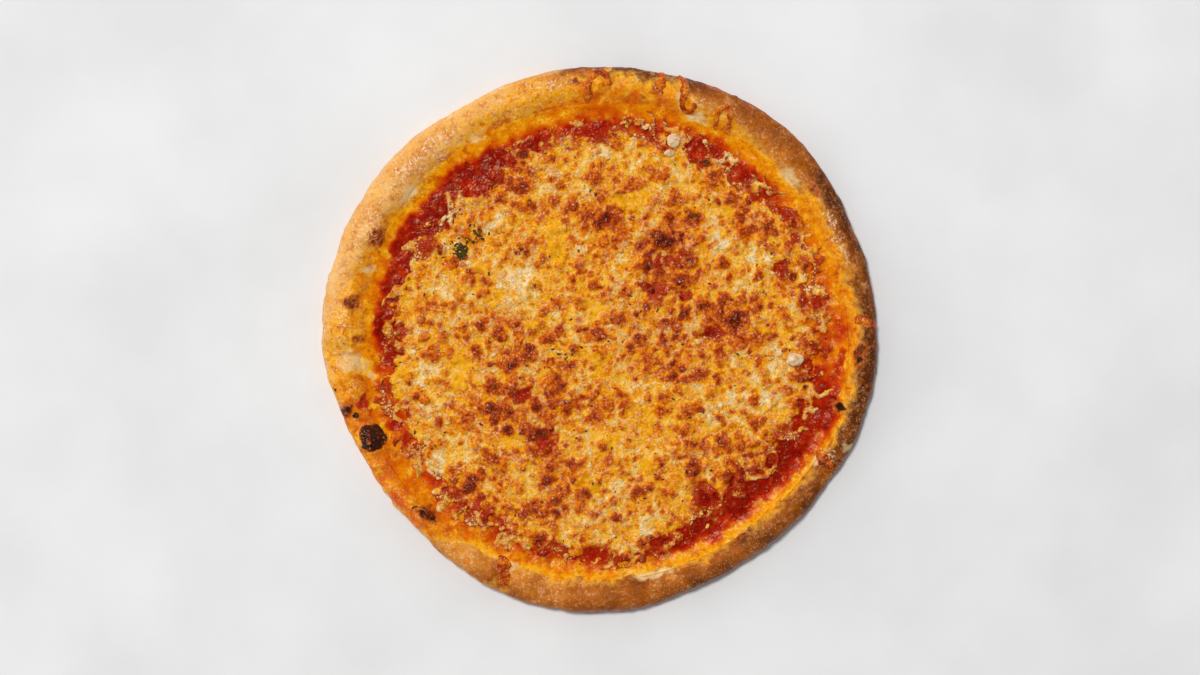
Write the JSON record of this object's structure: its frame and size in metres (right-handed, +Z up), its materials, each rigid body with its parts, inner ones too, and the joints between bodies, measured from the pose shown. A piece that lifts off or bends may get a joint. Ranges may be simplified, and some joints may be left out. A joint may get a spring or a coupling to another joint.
{
  "type": "margherita pizza",
  "caption": "Whole baked margherita pizza: puffed crust rim with a burnt bubble, tomato sauce, and a blanket of toasted melted cheese with herb flecks.",
  "frame": {"origin": "under the middle of the pizza's outline, on the surface that it rests on", "axes": "+Z up out of the toppings, +X to the right and +Y away from the viewer as the pizza lies before them"},
  "size_m": [0.321, 0.315, 0.018],
  "materials": {
    "baked_dough": "baked wheat dough, golden tan with oil-stained orange slopes, pale floury folds and small charred spots",
    "tomato_sauce": "wet, oily dark red tomato sauce",
    "melted_cheese": "melted grated cheese, granular and cream to yellow, with glossy orange-brown toasted blisters and herb flecks",
    "white_curd": "soft white cheese curd, barely melted",
    "toasted_cheese": "crisp, dark orange-brown toasted cheese with a fine blistered skin"
  },
  "bodies": {
    "root": {"crust": "baked_dough", "sauce": "tomato_sauce", "cheese": "melted_cheese", "curd_1": "white_curd", "curd_2": "white_curd", "curd_3": "white_curd", "cheese_string_1": "toasted_cheese", "cheese_string_2": "toasted_cheese", "cheese_string_3": "toasted_cheese", "cheese_string_4": "toasted_cheese", "cheese_string_5": "toasted_cheese", "cheese_string_6": "toasted_cheese", "cheese_string_7": "toasted_cheese"}
  },
  "joints": []
}
